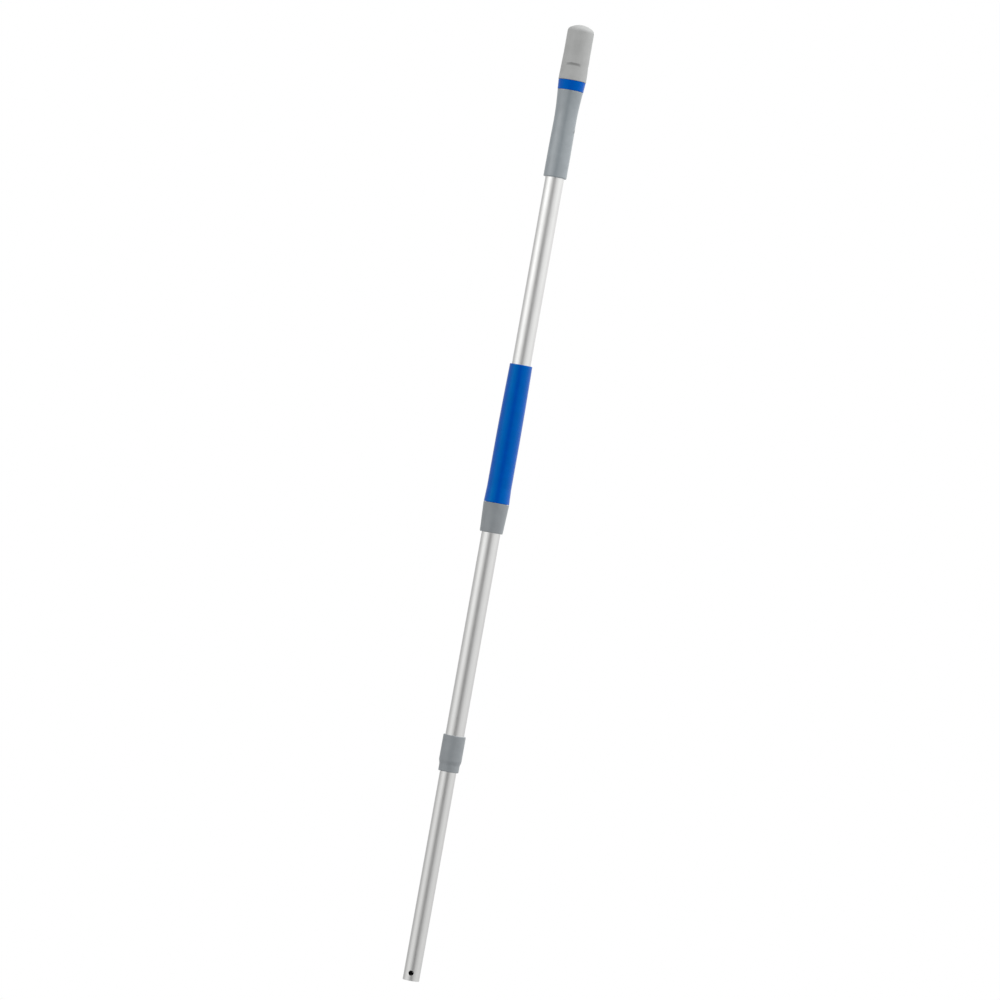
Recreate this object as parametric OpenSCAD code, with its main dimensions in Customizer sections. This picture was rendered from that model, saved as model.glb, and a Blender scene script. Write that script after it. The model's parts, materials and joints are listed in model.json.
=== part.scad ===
// Telescopic pole for window cleaning tools.
// The Z axis runs along the pole from the tool end to the palm cap. The origin is the middle of the
// tool end. The lock hole faces -Y. All sizes are in millimetres.

/* [Outer tube] */
// Outside diameter of the outer tube
outer_tube_d = 25; // [23:0.5:30]
// Wall thickness of the outer tube
outer_tube_wall = 1.2; // [1:0.1:1.6]
// Length of the outer tube
outer_tube_length = 900; // [740:10:1200]

/* [Inner tube] */
// Wall thickness of the inner tube
inner_tube_wall = 1.2; // [1.1:0.1:1.6]
// Length of the inner tube
inner_tube_length = 850; // [700:10:880]
// Length of the inner tube that stands out of the ferrule
inner_tube_shown = 280; // [225:5:330]
// Wall left around the sized socket at the tool end
socket_wall = 1; // [0.7:0.1:1.1]
// Depth of the sized socket, down to its stop
socket_depth = 60; // [30:5:100]
// Thickness of the socket stop
socket_stop_length = 12; // [8:1:20]
// Diameter of the lock hole
lock_hole_d = 6.8; // [4:0.1:9]
// Distance from the tool end to the middle of the lock hole
lock_hole_height = 10.3; // [7:0.1:25]

/* [Ferrule] */
// Wall of the ferrule's body around the outer tube
ferrule_wall = 2.5; // [1.8:0.1:4]
// Wall of the ferrule's neck around its bush
ferrule_neck_wall = 1.2; // [1:0.1:2]
// Height of the neck, up to the end of the outer tube
ferrule_neck_height = 10; // [7:0.5:16]
// Length of the ferrule's body on the outer tube
ferrule_body_length = 38.5; // [25:0.5:60]
// Height of the slope between neck and body
ferrule_shoulder = 5.5; // [2:0.5:8]
// Thickness of the lip that keeps the bush in
ferrule_lip = 1.5; // [1:0.1:2.5]
// Wall thickness of the ferrule bush
ferrule_bush_wall = 1.15; // [0.8:0.05:1.6]

/* [Top grip] */
// Length of the top grip's body
grip_length = 116.7; // [90:1:150]
// Height of the grip's body above the end of the outer tube
grip_overhang = 3.7; // [2:0.1:8]
// Wall of the grip's body at its lower end
grip_wall_low = 2.95; // [2:0.05:4]
// Wall of the grip's body at its waist
grip_wall_waist = 2.5; // [1.9:0.1:3.5]
// Wall of the grip's body at its top
grip_wall_top = 4.6; // [3.5:0.05:6]
// Height of the waist above the lower end of the grip
grip_waist_height = 78; // [60:1:85]
// Height of the side screw above the lower end of the grip
grip_screw_height = 63; // [35:1:75]
// Diameter of the side screw's head
grip_screw_head_d = 5; // [4:0.1:6.5]
// Diameter of the side screw's shank
grip_screw_d = 2.9; // [2:0.1:3.5]
// Thickness of the side screw's head
grip_screw_head_height = 1.1; // [0.8:0.1:1.3]

/* [Colour ring] */
// Height of the colour ring
ring_height = 12.9; // [8:0.1:20]
// How far the ring stands out from the top of the grip's body
ring_step = 0.15; // [0:0.05:0.5]
// How far the ring widens from its lower edge to its upper edge
ring_flare = 0.95; // [0:0.05:2.5]

/* [Palm cap] */
// Height of the palm cap
cap_height = 74.6; // [66:0.1:95]
// How far the cap's base stands out from the ring
cap_step = 0.3; // [0:0.05:1]
// How far the cap narrows above its base
cap_taper = 0.8; // [0:0.1:1.5]
// Height over which the cap narrows
cap_taper_height = 36; // [20:1:45]
// Wall of the palm cap around its core
cap_wall = 2.9; // [2.5:0.1:4]
// Radius of the dome on top of the cap
dome_radius = 27; // [20:0.5:40]
// Radius of the rounded corner between the dome and the side
dome_corner = 6.5; // [3:0.5:9]
// Number of thumb scoops round the cap
scoop_count = 3; // [1:1:5]
// Height of the scoops' ledge above the cap's base
scoop_ledge_height = 22.5; // [18:0.5:30]
// Height of a scoop from its run-out to its ledge
scoop_height = 15.5; // [10:0.5:18]
// Depth of a scoop below its ledge
scoop_depth = 1.6; // [1:0.1:2]
// Radius of the curved line of a scoop's ledge
scoop_ledge_radius = 40; // [22:1:60]
// Radius of the scoop's floor across the cap
scoop_floor_radius = 32; // [30:1:80]

/* [Swivel] */
// Diameter of the swivel spindle
swivel_spindle_d = 8; // [6:0.5:10]
// Wall thickness of the swivel bushes
swivel_bush_wall = 2; // [1.5:0.1:2.5]
// Length of each swivel bush without its flange
swivel_bush_length = 12; // [8:0.5:16]
// Thickness of the flange of each swivel bush
swivel_bush_flange = 1.5; // [1:0.1:2]
// Length of the swivel core
core_length = 48; // [40:1:50]
// Depth to which the tube plug reaches into the outer tube
tube_plug_depth = 30; // [20:1:33]
// How far the boss of the tube plug stands out from the outer tube
plug_boss_step = 1.5; // [1:0.1:2]
// Height of the boss of the tube plug
plug_boss_height = 10; // [6:0.5:10.2]
// Thickness of the flat washers on the swivel spindle
swivel_washer = 1.1; // [0.8:0.1:1.2]

/* [Middle grip] */
// Distance from the end of the outer tube to the lower edge of the blue sleeve
middle_grip_height = 350.5; // [110:0.5:560]
// Length of the blue sleeve
sleeve_length = 185; // [120:5:220]
// Wall of the sleeve's straight part
sleeve_wall_low = 2.3; // [1.6:0.1:3.5]
// Wall of the sleeve at its upper end
sleeve_wall_top = 1.1; // [0.9:0.1:1.5]
// Height at which the sleeve's straight part ends
sleeve_straight = 85; // [40:5:100]
// How far the sleeve flares out at its lower end
sleeve_flare = 0.85; // [0:0.05:1.5]
// Height of the flare
sleeve_flare_height = 20; // [8:1:35]
// Wall thickness of the grip carrier
carrier_wall = 1.2; // [1:0.1:1.6]
// Length of the carrier's threaded end inside the nut
carrier_thread_length = 22; // [16:1:25]
// Height of the clamp nut
nut_height = 39.5; // [34:0.1:48]
// How far the nut stands out from the flared end of the sleeve
nut_step = 0.1; // [0:0.05:1]
// How far the nut narrows from its top to its lower end
nut_taper = 1.9; // [0.5:0.1:2.2]
// Height of the olive that the nut squeezes
olive_height = 11; // [8:0.5:12]
// Width of the slit in the olive
olive_slit = 2.5; // [1:0.5:4]

/* [Twist lock] */
// Diameter of the threaded lock spindle
lock_spindle_d = 8; // [6:0.5:10]
// Length of the spindle plug inside the inner tube
spindle_plug_length = 32; // [24:1:50]
// Thickness of the spindle plug's flange
plug_flange = 4; // [3:0.5:6]
// Diameter of the cross pin that holds the spindle plug
plug_pin_d = 3; // [2:0.1:4]
// Height of the expander
expander_height = 30; // [24:1:32]
// Thickness of the expander's floor
expander_floor = 4; // [3:0.5:6]
// Wall of the expander at its open end
expander_rim = 1; // [0.8:0.1:1.6]
// Width of the slots in the expander
expander_slot = 3; // [2:0.5:4]
// Slope of the cone nut, measured as its narrowing for each millimetre of height
cone_slope = 0.14; // [0.1:0.01:0.18]
// Height of the cone nut
cone_height = 27; // [22:1:29]
// Travel of the cone nut along the spindle
cone_travel = 2; // [1:0.5:3]
// Thickness of the stop nut
stop_nut_height = 6; // [4:0.5:8]

/* [Fits] */
// Radial gap between a piece and the seat that it is pressed or glued into
seat_gap = 0.05; // [0.02:0.01:0.1]
// Radial gap between a shaft and the bush that it turns in
running_gap = 0.08; // [0.04:0.01:0.1]
// Radial gap between pieces that slide on each other
sliding_gap = 0.2; // [0.1:0.05:0.3]
// Radial gap between the two tubes, and between pieces that pass without touching
free_gap = 0.3; // [0.25:0.05:0.4]

/* [Hidden] */
$fn = 96;
// Overlap that lets a cut pass cleanly through a face
cut = 1;
// Small bevel on moulded edges
bevel = 0.8;
// Number of steps along a curved outline
curve_steps = 20;
// Power of the height with which the top grip flares above its waist
grip_flare_power = 1.7;
// Power of the height with which the sleeve thins above its straight part
sleeve_taper_power = 1.5;
// Depth of the side screw's seat in the wall of the grip, from the tube outwards
grip_screw_seat = 1.2;
// Width of the cross recess in the side screw's head, and the metal left under it
screw_recess_width = 0.7;
screw_recess_floor = 0.4;
// Rim of a collar or a flange beyond the bush next to it
flange_rim = 2;
// Length of a spindle beyond its last ring or nut
spindle_end = 2;
// Rim of the retaining ring, and the width of its mouth as a share of the groove
retaining_ring_rim = 1.5;
retaining_ring_mouth = 0.7;
// Wall of the core's barrel, and the thickness of its flanges and ribs
core_barrel_wall = 2.5;
core_flange = 7;
core_rib = 2.4;
// Room around the flange and above the spindle inside the palm cap
cap_room = 2;
cap_head_room = 4;
// Angle left out at each end of the dome's outline, where the points next to it take over
dome_end_angle = 1;
// Distance from the carrier's end to the sleeve's upper edge
carrier_recess = 1;
// Width of the carrier's slits, and the thread left whole above them
carrier_slit = 2;
carrier_slit_stop = 4;
// Wall of the olive at its lower end, and how far its upper end stays inside the carrier's outline
olive_low_wall = 0.8;
olive_top_inset = 0.1;
// Radius of the nut's lower edge
nut_edge = 1.5;
// Thickness of the nut's lip under the olive
nut_lip = 3;
// Rims of the spindle's head and of the lock washer
spindle_head_rim = 2.5;
lock_washer_rim = 4.5;
// Gap under the cone nut, solid height under the expander's slots, and gap above the cone's travel
cone_foot_gap = 1.5;
expander_slot_floor = 2;
stop_nut_gap = 4;
// Width of the stop nut over its corners, as a multiple of the spindle's diameter
stop_nut_factor = 1.75;

// Tubes
outer_bore = outer_tube_d - 2 * outer_tube_wall;
inner_tube_d = outer_bore - 2 * free_gap;
inner_bore = inner_tube_d - 2 * inner_tube_wall;
socket_bore = inner_tube_d - 2 * socket_wall;

// Heights along the pole
ferrule_z = inner_tube_shown;
outer_z = ferrule_z + ferrule_neck_height;
outer_top_z = outer_z + outer_tube_length;
ferrule_top_z = outer_z + ferrule_body_length;
grip_top_z = outer_top_z + grip_overhang;
grip_z = grip_top_z - grip_length;
ring_top_z = grip_top_z + ring_height;
cap_z = ring_top_z + free_gap;
cap_top_z = cap_z + cap_height;
sleeve_z = outer_z + middle_grip_height;
sleeve_top_z = sleeve_z + sleeve_length;
nut_top_z = sleeve_z - free_gap;
nut_z = nut_top_z - nut_height;

// Ferrule
ferrule_bush_bore = inner_tube_d + 2 * sliding_gap;
ferrule_bush_d = ferrule_bush_bore + 2 * ferrule_bush_wall;
ferrule_neck_bore = ferrule_bush_d + 2 * seat_gap;
ferrule_neck_d = ferrule_neck_bore + 2 * ferrule_neck_wall;
ferrule_d = outer_tube_d + 2 * ferrule_wall;
tube_seat_d = outer_tube_d + 2 * seat_gap;

// Top grip, ring and cap
grip_top_d = outer_tube_d + 2 * grip_wall_top;
ring_low_d = grip_top_d + 2 * ring_step;
ring_top_d = ring_low_d + 2 * ring_flare;
cap_base_d = ring_top_d + 2 * cap_step;
cap_d = cap_base_d - 2 * cap_taper;
plug_boss_d = outer_tube_d + 2 * plug_boss_step;
screw_z = grip_z + grip_screw_height;
screw_seat_r = outer_tube_d / 2 + grip_screw_seat;

// Swivel, from its collar upwards
collar_d = swivel_spindle_d + 2 * swivel_bush_wall + 2 * flange_rim;
collar_z = grip_top_z + plug_boss_height;
collar_height = 2;
thrust_washer_z = collar_z + collar_height;
lower_flange_z = thrust_washer_z + swivel_washer + free_gap;
core_z = lower_flange_z + swivel_bush_flange;
core_top_z = core_z + core_length;
upper_flange_top_z = core_top_z + swivel_bush_flange;
spindle_washer_z = upper_flange_top_z + free_gap;
retaining_ring_z = spindle_washer_z + swivel_washer;
retaining_ring_height = 1;
retaining_groove_depth = 0.8;
swivel_spindle_top_z = retaining_ring_z + retaining_ring_height + spindle_end;
swivel_spindle_root = 24;
bush_bore = swivel_spindle_d + 2 * running_gap;
bush_d = bush_bore + 2 * swivel_bush_wall;
bush_flange_d = bush_d + 2 * flange_rim;
core_bore = bush_d + 2 * seat_gap;
core_seat_d = cap_d - 2 * cap_wall;
core_d = core_seat_d - 2 * seat_gap;
core_barrel_d = core_bore + 2 * core_barrel_wall;
cap_room_d = bush_flange_d + 2 * cap_room;

// Middle grip
carrier_bore = outer_tube_d + 2 * sliding_gap;
carrier_d = carrier_bore + 2 * carrier_wall;
sleeve_bore = carrier_d + 2 * seat_gap;
sleeve_end_d = sleeve_bore + 2 * sleeve_wall_low + 2 * sleeve_flare;
carrier_z = nut_top_z - carrier_thread_length;
carrier_top_z = sleeve_top_z - carrier_recess;
nut_top_d = sleeve_end_d + 2 * nut_step;
nut_low_d = nut_top_d - 2 * nut_taper;
nut_thread_bore = carrier_d + 2 * free_gap;
nut_lip_bore = outer_tube_d + 2 * free_gap;
olive_top_z = carrier_z - free_gap;
olive_z = olive_top_z - olive_height;
olive_bore = outer_tube_d + 2 * sliding_gap;
olive_low_d = olive_bore + 2 * olive_low_wall;
olive_top_d = carrier_d - 2 * olive_top_inset;

// Twist lock, from the top of the inner tube upwards
plug_d = inner_bore - 2 * seat_gap;
plug_z = inner_tube_length - spindle_plug_length;
plug_flange_d = inner_tube_d;
plug_top_z = inner_tube_length + plug_flange;
pin_z = inner_tube_length - spindle_plug_length / 2;
spindle_head_d = lock_spindle_d + 2 * spindle_head_rim;
spindle_head_height = 6;
lock_washer_height = 1.2;
lock_washer_d = lock_spindle_d + 2 * lock_washer_rim;
expander_z = plug_top_z + lock_washer_height + free_gap;
expander_top_z = expander_z + expander_height;
expander_d = outer_bore - 2 * sliding_gap;
expander_mouth_d = expander_d - 2 * expander_rim;
expander_floor_bore = lock_spindle_d + 2 * free_gap;
taper_height = expander_height - expander_floor;
taper_low_d = expander_mouth_d - 2 * cone_slope * taper_height;
cone_z = expander_z + expander_floor + cone_foot_gap;
cone_top_z = cone_z + cone_height;
cone_low_d = taper_low_d + 2 * cone_slope * cone_foot_gap - 2 * running_gap;
cone_top_d = cone_low_d + 2 * cone_slope * cone_height;
stop_nut_z = cone_top_z + cone_travel + stop_nut_gap;
stop_nut_d = lock_spindle_d * stop_nut_factor;
lock_spindle_top_z = stop_nut_z + stop_nut_height + spindle_end;

// Points on an arc, from one angle to another
function arc(centre, radius, from, to, steps) = [
    for (i = [0:steps])
        let (a = from + (to - from) * i / steps)
        [centre[0] + radius * cos(a), centre[1] + radius * sin(a)]
];

// Smooth step from 0 to 1
function ease(t) = (1 - cos(180 * t)) / 2;

// Wall of the grip's body at a height above its lower end
function grip_wall(h) =
    h < grip_waist_height
    ? grip_wall_low - (grip_wall_low - grip_wall_waist) * ease(pow(h / grip_waist_height, 2))
    : grip_wall_waist + (grip_wall_top - grip_wall_waist)
        * pow((h - grip_waist_height) / (grip_length - grip_waist_height), grip_flare_power);

// Wall of the sleeve at a height above its lower end
function sleeve_wall(h) =
    h < sleeve_flare_height
    ? sleeve_wall_low + sleeve_flare * (1 - h / sleeve_flare_height)
    : h < sleeve_straight
    ? sleeve_wall_low
    : sleeve_wall_low - (sleeve_wall_low - sleeve_wall_top)
        * pow((h - sleeve_straight) / (sleeve_length - sleeve_straight), sleeve_taper_power);

// A plain ring between two heights
module ring(outer_d, bore_d, low_z, high_z) {
    difference() {
        translate([0, 0, low_z]) cylinder(d = outer_d, h = high_z - low_z);
        translate([0, 0, low_z - cut]) cylinder(d = bore_d, h = high_z - low_z + 2 * cut);
    }
}

// A solid disc between two heights
module disc(d, low_z, high_z) {
    translate([0, 0, low_z]) cylinder(d = d, h = high_z - low_z);
}

// A hole along the pole between two heights
module hole(d, low_z, high_z) {
    translate([0, 0, low_z]) cylinder(d = d, h = high_z - low_z);
}

// Outer tube with the hole for the side screw
module outer_tube() {
    color([0.84, 0.84, 0.83]) difference() {
        ring(outer_tube_d, outer_bore, outer_z, outer_top_z);
        translate([0, 0, screw_z]) rotate([0, 90, 0])
            cylinder(d = grip_screw_d + 2 * seat_gap, h = outer_tube_d);
    }
}

// Moulded ferrule on the lower end of the outer tube
module ferrule() {
    outline = [
        [ferrule_bush_bore / 2 + free_gap / 2, ferrule_z],
        [ferrule_neck_d / 2 - bevel, ferrule_z],
        [ferrule_neck_d / 2, ferrule_z + bevel],
        [ferrule_neck_d / 2, outer_z - bevel],
        [ferrule_d / 2, outer_z - bevel + ferrule_shoulder],
        [ferrule_d / 2, ferrule_top_z - bevel],
        [ferrule_d / 2 - bevel, ferrule_top_z],
        [tube_seat_d / 2, ferrule_top_z],
        [tube_seat_d / 2, outer_z],
        [ferrule_neck_bore / 2, outer_z],
        [ferrule_neck_bore / 2, ferrule_z + ferrule_lip],
        [ferrule_bush_bore / 2 + free_gap / 2, ferrule_z + ferrule_lip]
    ];
    color([0.50, 0.52, 0.54]) rotate_extrude() polygon(outline);
}

// Bush in the ferrule's neck that guides the inner tube
module ferrule_bush() {
    color([0.92, 0.92, 0.90])
        ring(ferrule_bush_d, ferrule_bush_bore, ferrule_z + ferrule_lip, outer_z);
}

// Body of the top grip, waisted and flared towards the ring
module grip_body() {
    outside = [
        for (i = [0:curve_steps])
            let (h = bevel + (grip_length - bevel) * i / curve_steps)
            [outer_tube_d / 2 + grip_wall(h), grip_z + h]
    ];
    outline = concat(
        [[tube_seat_d / 2, grip_z], [outer_tube_d / 2 + grip_wall_low - bevel, grip_z]],
        outside,
        [[tube_seat_d / 2, grip_top_z]]
    );
    color([0.54, 0.56, 0.58]) difference() {
        rotate_extrude() polygon(outline);
        translate([0, 0, screw_z]) rotate([0, 90, 0])
            cylinder(d = grip_screw_d + 2 * seat_gap, h = outer_tube_d);
        translate([screw_seat_r, 0, screw_z]) rotate([0, 90, 0])
            cylinder(d = grip_screw_head_d + 2 * sliding_gap, h = outer_tube_d);
    }
}

// Side screw that holds the grip's body on the tube
module grip_screw() {
    tip_r = outer_bore / 2 - free_gap / 2;
    color([0.25, 0.25, 0.26]) translate([0, 0, screw_z]) rotate([0, 90, 0]) difference() {
        union() {
            translate([0, 0, tip_r])
                cylinder(d = grip_screw_d, h = screw_seat_r - tip_r + screw_recess_floor);
            translate([0, 0, screw_seat_r]) cylinder(d = grip_screw_head_d, h = grip_screw_head_height);
        }
        for (turn = [0, 90])
            rotate([0, 0, turn])
            translate([-grip_screw_head_d / 3, -screw_recess_width / 2, screw_seat_r + screw_recess_floor])
            cube([2 * grip_screw_head_d / 3, screw_recess_width, grip_screw_head_height]);
    }
}

// Colour ring between the grip's body and the palm cap
module colour_ring() {
    bore_r = plug_boss_d / 2 + seat_gap;
    outline = [
        [bore_r, grip_top_z],
        [ring_low_d / 2, grip_top_z],
        [ring_top_d / 2, ring_top_z - bevel / 4],
        [ring_top_d / 2 - bevel / 4, ring_top_z],
        [bore_r, ring_top_z]
    ];
    color([0.0, 0.32, 0.65]) rotate_extrude() polygon(outline);
}

// Plug in the top of the outer tube, with the boss that carries the ring
module tube_plug() {
    color([0.16, 0.16, 0.17]) difference() {
        union() {
            disc(outer_bore - 2 * seat_gap, outer_top_z - tube_plug_depth, outer_top_z);
            disc(outer_tube_d, outer_top_z, grip_top_z);
            disc(plug_boss_d, grip_top_z, collar_z);
        }
        hole(swivel_spindle_d + 2 * seat_gap, collar_z - swivel_spindle_root, collar_z + cut);
    }
}

// Steel spindle that the palm cap turns on
module swivel_spindle() {
    groove_z = retaining_ring_z;
    color([0.70, 0.70, 0.72]) difference() {
        union() {
            disc(swivel_spindle_d, collar_z - swivel_spindle_root, swivel_spindle_top_z);
            disc(collar_d, collar_z, thrust_washer_z);
        }
        ring(swivel_spindle_d + 2 * cut, swivel_spindle_d - 2 * retaining_groove_depth,
             groove_z, groove_z + retaining_ring_height);
    }
}

// Washer between the spindle's collar and the lower bush
module thrust_washer() {
    color([0.92, 0.92, 0.90])
        ring(collar_d, bush_bore, thrust_washer_z, thrust_washer_z + swivel_washer);
}

// Ribbed core that is pressed into the palm cap
module swivel_core() {
    color([0.20, 0.20, 0.21]) difference() {
        union() {
            disc(core_d, core_z, core_z + core_flange);
            disc(core_barrel_d, core_z, core_top_z);
            disc(core_d, core_top_z - core_flange, core_top_z);
            intersection() {
                disc(core_d, core_z, core_top_z);
                for (turn = [0, 90])
                    rotate([0, 0, turn])
                    translate([-core_d, -core_rib / 2, core_z])
                    cube([2 * core_d, core_rib, core_length]);
            }
        }
        hole(core_bore, core_z - cut, core_top_z + cut);
    }
}

// Flanged bush at the bottom of the core
module lower_bush() {
    color([0.92, 0.92, 0.90]) difference() {
        union() {
            disc(bush_flange_d, lower_flange_z, core_z);
            disc(bush_d, lower_flange_z, core_z + swivel_bush_length);
        }
        hole(bush_bore, lower_flange_z - cut, core_z + swivel_bush_length + cut);
    }
}

// Flanged bush at the top of the core
module upper_bush() {
    color([0.92, 0.92, 0.90]) difference() {
        union() {
            disc(bush_flange_d, core_top_z, upper_flange_top_z);
            disc(bush_d, core_top_z - swivel_bush_length, upper_flange_top_z);
        }
        hole(bush_bore, core_top_z - swivel_bush_length - cut, upper_flange_top_z + cut);
    }
}

// Washer above the upper bush
module spindle_washer() {
    color([0.70, 0.70, 0.72])
        ring(bush_flange_d, bush_bore, spindle_washer_z, spindle_washer_z + swivel_washer);
}

// Open retaining ring in the groove of the swivel spindle
module retaining_ring() {
    groove_d = swivel_spindle_d - 2 * retaining_groove_depth;
    mouth = groove_d * retaining_ring_mouth;
    color([0.35, 0.35, 0.36]) difference() {
        ring(swivel_spindle_d + 2 * retaining_ring_rim, groove_d + 2 * seat_gap, retaining_ring_z,
             retaining_ring_z + retaining_ring_height - seat_gap);
        translate([0, -mouth / 2, retaining_ring_z - cut])
            cube([swivel_spindle_d, mouth, retaining_ring_height + 2 * cut]);
    }
}

// One thumb scoop: a sloping floor, slightly rounded across the cap, that ends in a curved ledge
module scoop() {
    ledge_z = cap_z + scoop_ledge_height;
    ledge_r = cap_base_d / 2 - cap_taper * scoop_ledge_height / cap_taper_height;
    run_out_r = cap_base_d / 2 - cap_taper * (scoop_ledge_height - scoop_height) / cap_taper_height;
    slope = atan((run_out_r - ledge_r + scoop_depth) / scoop_height);
    translate([0, -(ledge_r - scoop_depth), ledge_z]) rotate([-slope, 0, 0]) difference() {
        translate([0, 0, -scoop_ledge_radius]) rotate([90, 0, 0])
            translate([0, 0, -scoop_depth]) cylinder(r = scoop_ledge_radius, h = cap_base_d / 2);
        translate([0, scoop_floor_radius, -2 * scoop_ledge_radius - cut])
            cylinder(r = scoop_floor_radius, h = 2 * scoop_ledge_radius + 2 * cut);
    }
}

// Domed palm cap with its thumb scoops
module palm_cap() {
    side_r = cap_d / 2;
    base_r = cap_base_d / 2;
    dome_z = cap_top_z - dome_radius;
    corner_r = side_r - dome_corner;
    reach = dome_radius - dome_corner;
    corner_z = dome_z + sqrt(reach * reach - corner_r * corner_r);
    blend_angle = atan2(corner_z - dome_z, corner_r);
    outline = concat(
        [[0, cap_z], [base_r - bevel / 4, cap_z], [base_r, cap_z + bevel / 4]],
        [[side_r, cap_z + cap_taper_height]],
        arc([corner_r, corner_z], dome_corner, 0, blend_angle, curve_steps / 2),
        arc([0, dome_z], dome_radius, blend_angle + dome_end_angle, 90 - dome_end_angle, curve_steps / 2),
        [[0, cap_top_z]]
    );
    color([0.63, 0.63, 0.63]) difference() {
        rotate_extrude() polygon(outline);
        hole(core_seat_d, cap_z - cut, core_top_z);
        hole(cap_room_d, core_top_z - cut, swivel_spindle_top_z + cap_head_room);
        for (i = [0:scoop_count - 1])
            rotate([0, 0, i * 360 / scoop_count]) scoop();
    }
}

// Soft blue sleeve of the middle grip
module grip_sleeve() {
    outside = [
        for (i = [0:curve_steps])
            let (h = (sleeve_length - bevel) * i / curve_steps)
            [sleeve_bore / 2 + sleeve_wall(h), sleeve_z + h]
    ];
    outline = concat(
        [[sleeve_bore / 2, sleeve_z]],
        outside,
        [[sleeve_bore / 2 + sleeve_wall_top - bevel, sleeve_top_z], [sleeve_bore / 2, sleeve_top_z]]
    );
    color([0.0, 0.28, 0.64]) rotate_extrude() polygon(outline);
}

// Carrier of the middle grip, threaded at its lower end and slit so that it can close on the tube
module grip_carrier() {
    slit_height = carrier_thread_length - carrier_slit_stop;
    color([0.20, 0.20, 0.21]) difference() {
        ring(carrier_d, carrier_bore, carrier_z, carrier_top_z);
        for (turn = [45, 135])
            rotate([0, 0, turn])
            translate([-carrier_d, -carrier_slit / 2, carrier_z - cut])
            cube([2 * carrier_d, carrier_slit, slit_height + cut]);
    }
}

// Split olive that the clamp nut squeezes onto the tube
module clamp_olive() {
    outline = [
        [olive_bore / 2, olive_z],
        [olive_low_d / 2, olive_z],
        [olive_top_d / 2, olive_top_z],
        [olive_bore / 2, olive_top_z]
    ];
    color([0.92, 0.92, 0.90]) difference() {
        rotate_extrude() polygon(outline);
        translate([0, -olive_slit / 2, olive_z - cut])
            cube([olive_top_d, olive_slit, olive_height + 2 * cut]);
    }
}

// Clamp nut under the middle grip
module clamp_nut() {
    low_r = nut_low_d / 2;
    top_r = nut_top_d / 2;
    outline = concat(
        [[nut_lip_bore / 2, nut_z]],
        arc([low_r - nut_edge, nut_z + nut_edge], nut_edge, -90, 0, curve_steps / 4),
        [[top_r, nut_top_z - bevel / 2], [top_r - bevel / 2, nut_top_z]],
        [[nut_thread_bore / 2, nut_top_z], [nut_thread_bore / 2, olive_top_z]],
        [[olive_low_d / 2 + free_gap, olive_z], [olive_low_d / 2 + free_gap, nut_z + nut_lip]],
        [[nut_lip_bore / 2, nut_z + nut_lip]]
    );
    color([0.50, 0.51, 0.53]) rotate_extrude() polygon(outline);
}

// Inner tube with the sized socket and the lock hole at its tool end
module inner_tube() {
    color([0.82, 0.82, 0.82]) difference() {
        ring(inner_tube_d, inner_bore, 0, inner_tube_length);
        hole(socket_bore, -cut, socket_depth);
        translate([0, 0, lock_hole_height]) rotate([90, 0, 0])
            cylinder(d = lock_hole_d, h = inner_tube_d);
        translate([-inner_tube_d, 0, pin_z]) rotate([0, 90, 0])
            cylinder(d = plug_pin_d + 2 * seat_gap, h = 2 * inner_tube_d);
    }
}

// Stop at the bottom of the tool socket, which also keeps water out of the tube
module socket_stop() {
    color([0.10, 0.10, 0.10])
        disc(inner_bore - 2 * seat_gap, socket_depth, socket_depth + socket_stop_length);
}

// Plug in the top of the inner tube that carries the lock spindle
module spindle_plug() {
    color([0.16, 0.16, 0.17]) difference() {
        union() {
            disc(plug_d, plug_z, inner_tube_length);
            disc(plug_flange_d, inner_tube_length, plug_top_z);
        }
        hole(lock_spindle_d + 2 * seat_gap, plug_z - cut, plug_top_z + cut);
        translate([-inner_tube_d, 0, pin_z]) rotate([0, 90, 0])
            cylinder(d = plug_pin_d + 2 * seat_gap, h = 2 * inner_tube_d);
    }
}

// Cross pin through the inner tube, its plug and the spindle
module plug_pin() {
    pin_length = inner_tube_d - 2 * free_gap;
    color([0.70, 0.70, 0.72]) translate([-pin_length / 2, 0, pin_z]) rotate([0, 90, 0])
        cylinder(d = plug_pin_d, h = pin_length);
}

// Threaded spindle of the twist lock
module lock_spindle() {
    color([0.70, 0.70, 0.72]) difference() {
        union() {
            disc(spindle_head_d, plug_z - spindle_head_height, plug_z);
            disc(lock_spindle_d, plug_z - spindle_head_height, lock_spindle_top_z);
        }
        translate([-inner_tube_d, 0, pin_z]) rotate([0, 90, 0])
            cylinder(d = plug_pin_d + 2 * seat_gap, h = 2 * inner_tube_d);
    }
}

// Washer between the spindle plug and the expander
module lock_washer() {
    color([0.70, 0.70, 0.72])
        ring(lock_washer_d, lock_spindle_d + 2 * running_gap, plug_top_z,
             plug_top_z + lock_washer_height);
}

// Slotted expander that the cone nut spreads against the outer tube
module expander() {
    floor_z = expander_z + expander_floor;
    outline = [
        [expander_floor_bore / 2, expander_z],
        [expander_d / 2 - bevel / 2, expander_z],
        [expander_d / 2, expander_z + bevel / 2],
        [expander_d / 2, expander_top_z - bevel / 4],
        [expander_d / 2 - bevel / 4, expander_top_z],
        [expander_mouth_d / 2, expander_top_z],
        [taper_low_d / 2, floor_z],
        [expander_floor_bore / 2, floor_z]
    ];
    color([0.75, 0.20, 0.12]) difference() {
        rotate_extrude() polygon(outline);
        for (turn = [0, 90])
            rotate([0, 0, turn])
            translate([-expander_d, -expander_slot / 2, floor_z + expander_slot_floor])
            cube([2 * expander_d, expander_slot, expander_height]);
    }
}

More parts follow.
